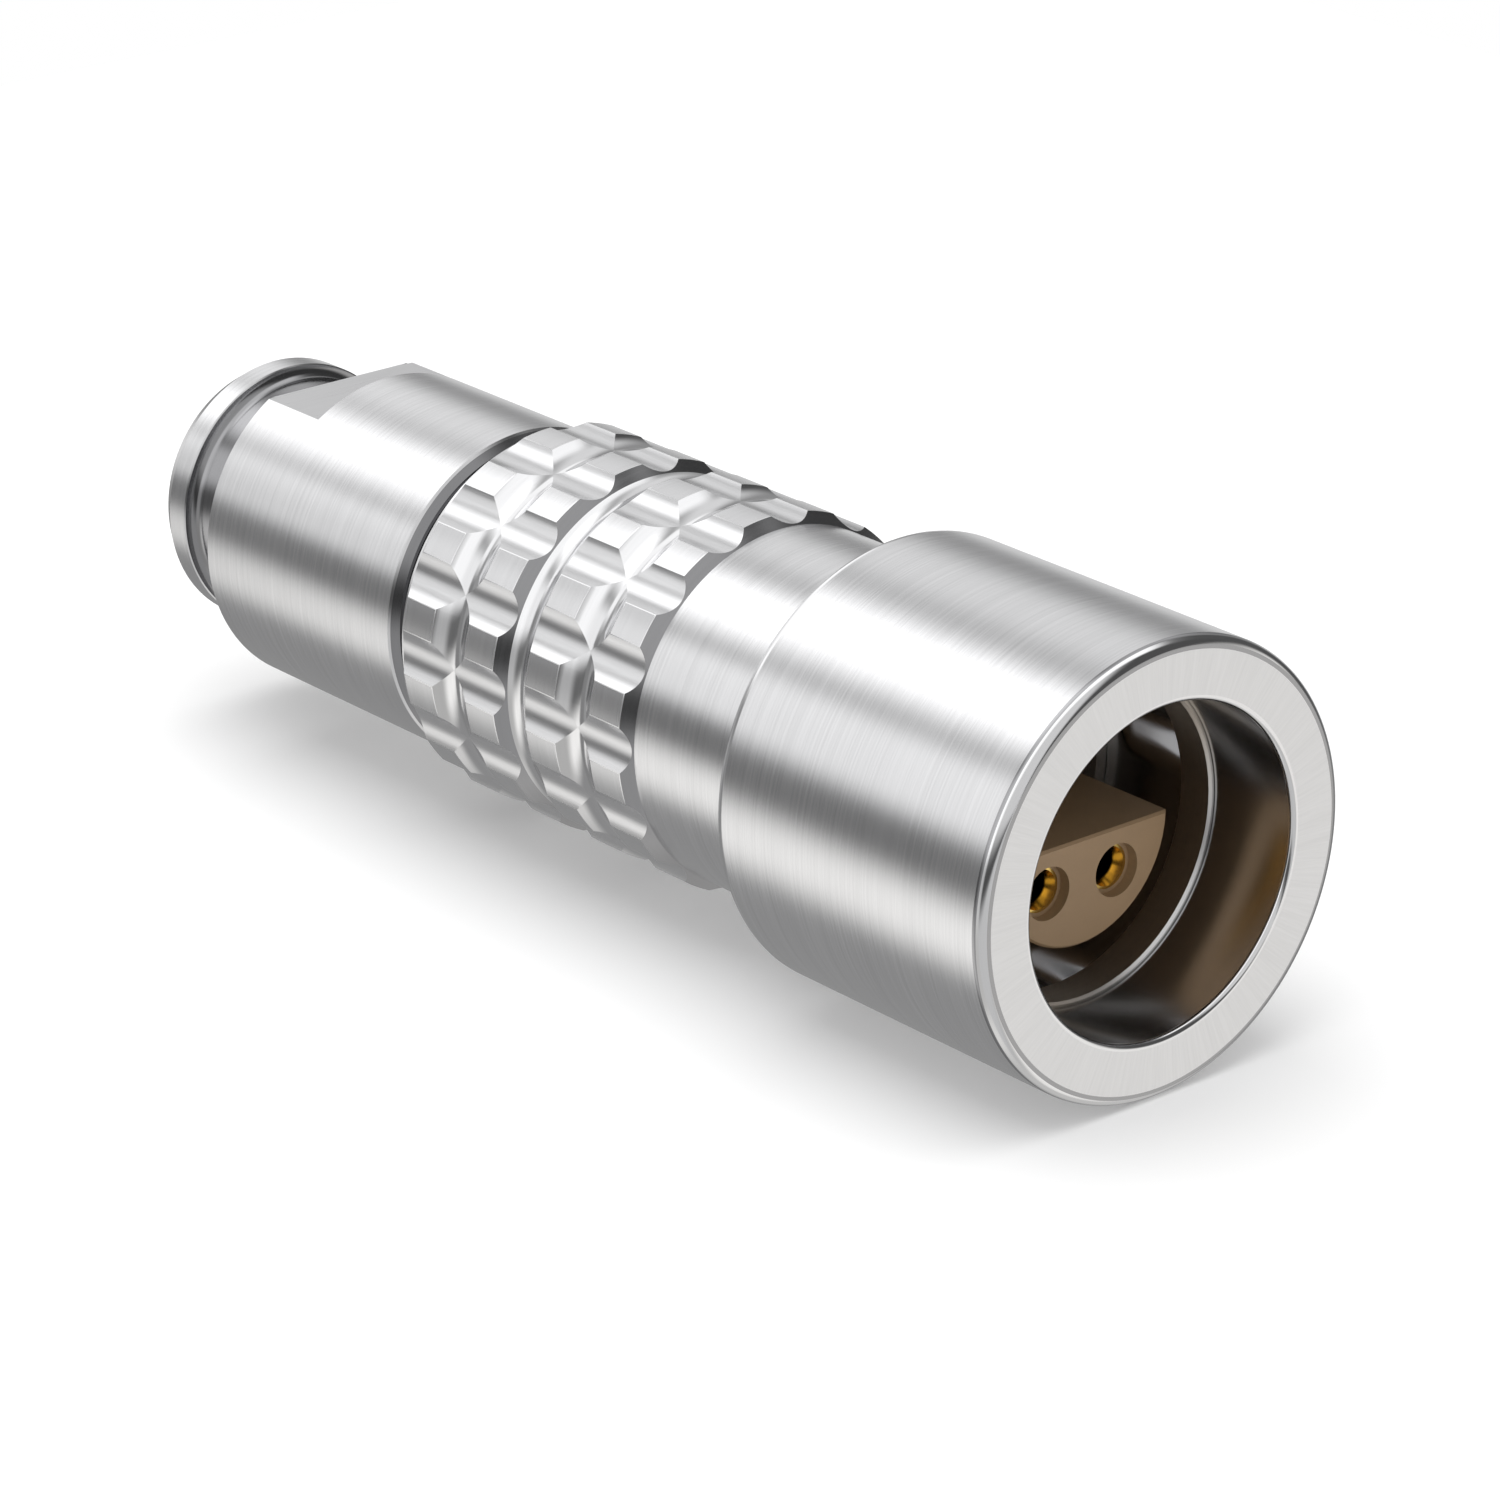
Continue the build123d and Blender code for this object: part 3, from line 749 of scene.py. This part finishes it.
def metal(name, colour, roughness, direction, fine, coarse, marks, spread, streak, anisotropy):
    """Metal with tool marks: fine lines in its roughness and relief, and slow streaks in its colour."""
    material, tree, shader = new_material(name)
    fine_coordinates = line_coordinates(tree, direction, fine, coarse)
    slow_coordinates = line_coordinates(tree, direction, fine / SLOW_ACROSS, coarse / SLOW_ALONG)
    fine_lines = noise(tree, fine_coordinates, detail=3, roughness=0.75)
    slow_lines = noise(tree, slow_coordinates, detail=2, roughness=0.5)
    mix = blend(tree, fine_lines, slow_lines, FINE_LINES_SHARE)
    add_tone(tree, shader, mix, METAL_TONE_STOPS, colour, streak)
    add_roughness(tree, shader, fine_lines, roughness, spread)
    add_relief(tree, shader, fine_lines, marks, METAL_RELIEF)
    shader.inputs["Metallic"].default_value = 1.0
    if anisotropy:
        shader.inputs["Anisotropic"].default_value = anisotropy
        shader.inputs["Anisotropic Rotation"].default_value = QUARTER_TURN
        tangent = tree.nodes.new("ShaderNodeTangent")
        tangent.direction_type = "RADIAL"
        tangent.axis = "Z"
        link(tree, tangent.outputs[0], shader.inputs["Tangent"])
    return material


def smooth_step(tree, value, low, high, start=0.0, end=1.0):
    """Start below the low limit, end above the high one, and a smooth change between them."""
    reach = tree.nodes.new("ShaderNodeMapRange")
    reach.interpolation_type = "SMOOTHSTEP"
    reach.inputs["From Min"].default_value = low
    reach.inputs["From Max"].default_value = high
    reach.inputs["To Min"].default_value = start
    reach.inputs["To Max"].default_value = end
    link(tree, value, reach.inputs["Value"])
    return reach.outputs["Result"]


def band_around(tree, turn, angle, half_width, edge, strength):
    """A band round the axis: its strength within the half width, and none beyond the soft edge."""
    away = math_node(tree, "SUBTRACT", turn, radians(angle))
    away = math_node(tree, "ABSOLUTE", math_node(tree, "WRAP", away, pi, -pi))
    return smooth_step(tree, away, radians(half_width), radians(half_width + edge), strength, 0)


def place_outputs(tree):
    """X, Y and Z on the part in millimetres, and the angle round its axis."""
    place_node = tree.nodes.new("ShaderNodeTexCoord")
    parts = tree.nodes.new("ShaderNodeSeparateXYZ")
    link(tree, vector_node(tree, "SCALE", place_node.outputs["Object"], scale=1 / MM), parts.inputs[0])
    x, y, z = parts.outputs
    return x, y, z, math_node(tree, "ARCTAN2", y, x)


def recolour(material, share, colour):
    """Takes the colour of a material over to another one by a share.

    A mix node has its colours in inputs 6 and 7 and in output 2.
    """
    tree = material.node_tree
    target = tree.nodes["Principled BSDF"].inputs["Base Color"]
    mix = tree.nodes.new("ShaderNodeMix")
    mix.data_type = "RGBA"
    link(tree, share, mix.inputs[0])
    link(tree, target.links[0].from_socket, mix.inputs[6])
    mix.inputs[7].default_value = (*colour, 1)
    link(tree, mix.outputs[2], target)


def paint_contact_bore_shade(material):
    """The pin holes of both contacts are coloured near black inside, as painted shade in the holes."""
    tree = material.node_tree
    x, y = place_outputs(tree)[:2]
    across = math_node(tree, "SUBTRACT", math_node(tree, "ABSOLUTE", x), CONTACT_PLACE[0])
    along = math_node(tree, "SUBTRACT", y, CONTACT_PLACE[1])
    away = math_node(tree, "SQRT", math_node(tree, "ADD", math_node(tree, "MULTIPLY", across, across),
                                             math_node(tree, "MULTIPLY", along, along)))
    inside = smooth_step(tree, away, CONTACT_BORE, CONTACT_BORE + CONTACT_BORE_EDGE, 1, 0)
    recolour(material, inside, CONTACT_BORE_SHADE_COLOUR)


def paint_insert_shade(material):
    """Painted shade: the insert darkens to near black deeper in, over its round body behind the half-moon
    nose.
    """
    tree = material.node_tree
    z = place_outputs(tree)[2]
    recolour(material, smooth_step(tree, z, *INSERT_SHADE_DEPTHS), INSERT_SHADE_COLOUR)


def paint_ring_highlight(material):
    """A painted highlight: the ring is near white where it faces the mouth, within a band round the axis.
    """
    tree = material.node_tree
    turn = place_outputs(tree)[3]
    geometry = tree.nodes.new("ShaderNodeNewGeometry")
    facing = tree.nodes.new("ShaderNodeSeparateXYZ")
    link(tree, geometry.outputs["Normal"], facing.inputs[0])
    front = smooth_step(tree, facing.outputs["Z"], *RING_HIGHLIGHT_FACING, 1, 0)
    band = band_around(tree, turn, *RING_HIGHLIGHT_BAND, 1)
    recolour(material, math_node(tree, "MULTIPLY", front, band), RING_HIGHLIGHT_COLOUR)


def wave_streaks(material):
    """Slow waves in the polished bore, as streaks whose surface leans towards the mouth."""
    tree = material.node_tree
    shader = tree.nodes["Principled BSDF"]
    z, turn = place_outputs(tree)[2:]
    lean = 0
    for angle in BORE_STREAK_ANGLES:
        streak = band_around(tree, turn, angle, *BORE_STREAK_WIDTHS, BORE_STREAK_LEAN)
        streak = math_node(tree, "MULTIPLY", streak, smooth_step(tree, z, *BORE_STREAK_GROWS))
        streak = math_node(tree, "MULTIPLY", streak, smooth_step(tree, z, *BORE_STREAK_FADES, 1, 0))
        lean = math_node(tree, "ADD", lean, streak)
    geometry = tree.nodes.new("ShaderNodeNewGeometry")
    leaning = vector_node(tree, "SCALE", (0.0, 0.0, -1.0), scale=lean)
    normal = vector_node(tree, "NORMALIZE", vector_node(tree, "ADD", geometry.outputs["Normal"], leaning))
    link(tree, normal, shader.inputs["Normal"].links[0].from_node.inputs["Normal"])


def plastic(name):
    """Machined plastic: faint cutter marks, slight mottling and a satin surface."""
    material, tree, shader = new_material(name)
    marks_coordinates = line_coordinates(tree, "along", PLASTIC_MARKS, PLASTIC_MARKS)
    clouds_coordinates = line_coordinates(tree, "along", PLASTIC_CLOUDS, PLASTIC_CLOUDS)
    marks = noise(tree, marks_coordinates, detail=3, roughness=0.6)
    clouds = noise(tree, clouds_coordinates, detail=2, roughness=0.6)
    mix = blend(tree, marks, clouds, PLASTIC_MARKS_SHARE)
    add_tone(tree, shader, mix, PLASTIC_TONE_STOPS, PLASTIC_COLOUR, PLASTIC_TONE_CHANGE)
    add_roughness(tree, shader, marks, PLASTIC_ROUGHNESS, PLASTIC_SPREAD)
    add_relief(tree, shader, marks, PLASTIC_RELIEF_STRENGTH, PLASTIC_RELIEF)
    return material


def dress(node, material):
    """Gives a node of the part its material."""
    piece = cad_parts[node]
    piece.data.materials.clear()
    piece.data.materials.append(materials[material])


def make_camera():
    data = bpy.data.cameras.new("camera")
    data.sensor_width = SENSOR_WIDTH
    data.lens = CAMERA_LENS
    data.clip_start, data.clip_end = CLIP_METRES
    camera = bpy.data.objects.new("camera", data)
    back = [-value for value in CAMERA_AHEAD]
    turn = Matrix((CAMERA_RIGHT, CAMERA_UP, back)).transposed().to_4x4()
    camera.matrix_world = Matrix.Translation(Vector(CAMERA_PLACE) * MM) @ turn
    bpy.context.scene.collection.objects.link(camera)
    bpy.context.scene.camera = camera


def mix_shaders(tree, share, first, second):
    node = tree.nodes.new("ShaderNodeMixShader")
    for socket, output in zip(node.inputs, (share, first, second)):
        link(tree, output, socket)
    return node.outputs[0]


def make_floor():
    """White floor under the front barrel, seen from above only."""
    near, far = FLOOR_MIDDLE - FLOOR_SIZE / 2, FLOOR_MIDDLE + FLOOR_SIZE / 2
    left, right = -FLOOR_SIZE / 2, FLOOR_SIZE / 2
    corners = [(x, FLOOR_HEIGHT, z) for x, z in ((left, near), (right, near), (right, far), (left, far))]
    mesh = bpy.data.meshes.new("floor")
    mesh.from_pydata(in_metres(corners), [], [(0, 3, 2, 1)])
    mesh.update()
    floor = bpy.data.objects.new("floor", mesh)
    bpy.context.scene.collection.objects.link(floor)
    material = bpy.data.materials.new("floor_white")
    material.use_nodes = True
    tree = material.node_tree
    tree.nodes.clear()
    diffuse = tree.nodes.new("ShaderNodeBsdfDiffuse")
    diffuse.inputs["Color"].default_value = FLOOR_COLOUR
    white = tree.nodes.new("ShaderNodeEmission")
    clear = tree.nodes.new("ShaderNodeBsdfTransparent")
    geometry = tree.nodes.new("ShaderNodeNewGeometry")
    path = tree.nodes.new("ShaderNodeLightPath")
    lift = math_node(tree, "MULTIPLY", path.outputs["Is Camera Ray"], FLOOR_LIFT)
    top = mix_shaders(tree, lift, diffuse.outputs[0], white.outputs[0])
    seen = mix_shaders(tree, geometry.outputs["Backfacing"], top, clear.outputs[0])
    out = tree.nodes.new("ShaderNodeOutputMaterial")
    link(tree, seen, out.inputs["Surface"])
    mesh.materials.append(material)
    floor.visible_glossy = False


def make_world():
    """White to the camera, even for diffuse light, and softboxes round the part's axis for gloss."""
    world = bpy.data.worlds.new("studio")
    bpy.context.scene.world = world
    world.use_nodes = True
    tree = world.node_tree
    tree.nodes.clear()
    direction = tree.nodes.new("ShaderNodeTexCoord")
    parts = tree.nodes.new("ShaderNodeSeparateXYZ")
    link(tree, direction.outputs["Generated"], parts.inputs[0])
    turn = math_node(tree, "ARCTAN2", parts.outputs["Y"], parts.outputs["X"])

    def studio_zone(boxes, gloom):
        light = (gloom,) * 3
        for angle, half_width, edge, strength, tint in boxes:
            box = band_around(tree, turn, angle, half_width, edge, strength)
            light = vector_node(tree, "ADD", light, vector_node(tree, "SCALE", tint, scale=box))
        return light

    def change(before, after, limits):
        """From one zone to another. A mix node has its vectors in inputs 4 and 5 and in output 1."""
        mix = tree.nodes.new("ShaderNodeMix")
        mix.data_type = "VECTOR"
        link(tree, smooth_step(tree, parts.outputs["Z"], *limits), mix.inputs[0])
        link(tree, before, mix.inputs[4])
        link(tree, after, mix.inputs[5])
        return mix.outputs[1]

    def plain_white(strength):
        node = tree.nodes.new("ShaderNodeBackground")
        node.inputs["Color"].default_value = (1, 1, 1, 1)
        node.inputs["Strength"].default_value = strength
        return node.outputs[0]

    studio = studio_zone(FRONT_BOXES, FRONT_GLOOM)
    studio = change(studio, studio_zone(SIDE_BOXES, SIDE_GLOOM), FRONT_TO_SIDE)
    studio = change(studio, studio_zone(REAR_BOXES, REAR_GLOOM), SIDE_TO_REAR)
    studio = change(studio, studio_zone(RING_BOXES, RING_GLOOM), REAR_TO_RING)
    studio = change(studio, studio_zone(AXIS_BOXES, AXIS_GLOOM), RING_TO_AXIS)
    gloss = tree.nodes.new("ShaderNodeBackground")
    link(tree, studio, gloss.inputs["Color"])
    path = tree.nodes.new("ShaderNodeLightPath")
    light = mix_shaders(tree, path.outputs["Is Glossy Ray"], plain_white(EVEN_LIGHT), gloss.outputs[0])
    seen = mix_shaders(tree, path.outputs["Is Camera Ray"], light, plain_white(1.0))
    out = tree.nodes.new("ShaderNodeOutputWorld")
    link(tree, seen, out.inputs["Surface"])


def make_key_lamp():
    data = bpy.data.lights.new("key", "AREA")
    data.shape = "SQUARE"
    data.size = KEY_SIZE * MM
    data.energy = KEY_POWER
    lamp = bpy.data.objects.new("key", data)
    toward = (Vector(KEY_TARGET) - Vector(KEY_PLACE)).normalized()
    turn = toward.to_track_quat("-Z", "Y").to_matrix().to_4x4()
    lamp.matrix_world = Matrix.Translation(Vector(KEY_PLACE) * MM) @ turn
    lamp.visible_camera = False
    lamp.visible_glossy = False
    bpy.context.scene.collection.objects.link(lamp)


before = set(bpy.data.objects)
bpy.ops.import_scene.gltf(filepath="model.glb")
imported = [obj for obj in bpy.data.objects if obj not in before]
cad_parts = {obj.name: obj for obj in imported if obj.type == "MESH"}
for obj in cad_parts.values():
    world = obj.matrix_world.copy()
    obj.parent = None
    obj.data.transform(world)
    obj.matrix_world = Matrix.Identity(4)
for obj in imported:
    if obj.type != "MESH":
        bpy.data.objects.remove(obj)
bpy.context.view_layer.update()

bpy.context.scene.view_settings.view_transform = "Standard"
make_camera()
make_floor()
make_world()
make_key_lamp()

materials = {name: metal(name, *values) for name, values in METALS.items()}
materials["brown_plastic"] = plastic("brown_plastic")
paint_contact_bore_shade(materials["gold_plate"])
paint_insert_shade(materials["brown_plastic"])
paint_ring_highlight(materials["ring_steel"])
wave_streaks(materials["shaded_bore_steel"])

shell_form = grid_mesh("shell_form", even_columns(SHELL_COLUMNS), shell_rows(), lathe_radius_at, no_split,
                       shell_slots)
place(shell_form, "shell", "outer_shell", SHELL_SLOTS)
for name, start in (("front_band_form", FIRST_BAND), ("rear_band_form", SECOND_BAND)):
    band_form = grid_mesh(name, band_columns(), band_rows(start), knurl_radius_at, knurl_split, band_slots)
    place(band_form, "shell", "outer_shell", BAND_SLOTS)
nut_form = grid_mesh("collet_nut_form", nut_columns(), nut_rows(), nut_radius_at, no_split, nut_slots)
place(nut_form, "nut", "collet_nut", NUT_SLOTS)

dress("earthing_ring", "ring_steel")
dress("insulator", "brown_plastic")
for node in ("retaining_ring", "insert_carrier_upper", "insert_carrier_lower", "collet"):
    dress(node, "nickel")
for node in ("socket_contact_left", "socket_contact_right", "contact_clip_left", "contact_clip_right"):
    dress(node, "gold_plate")
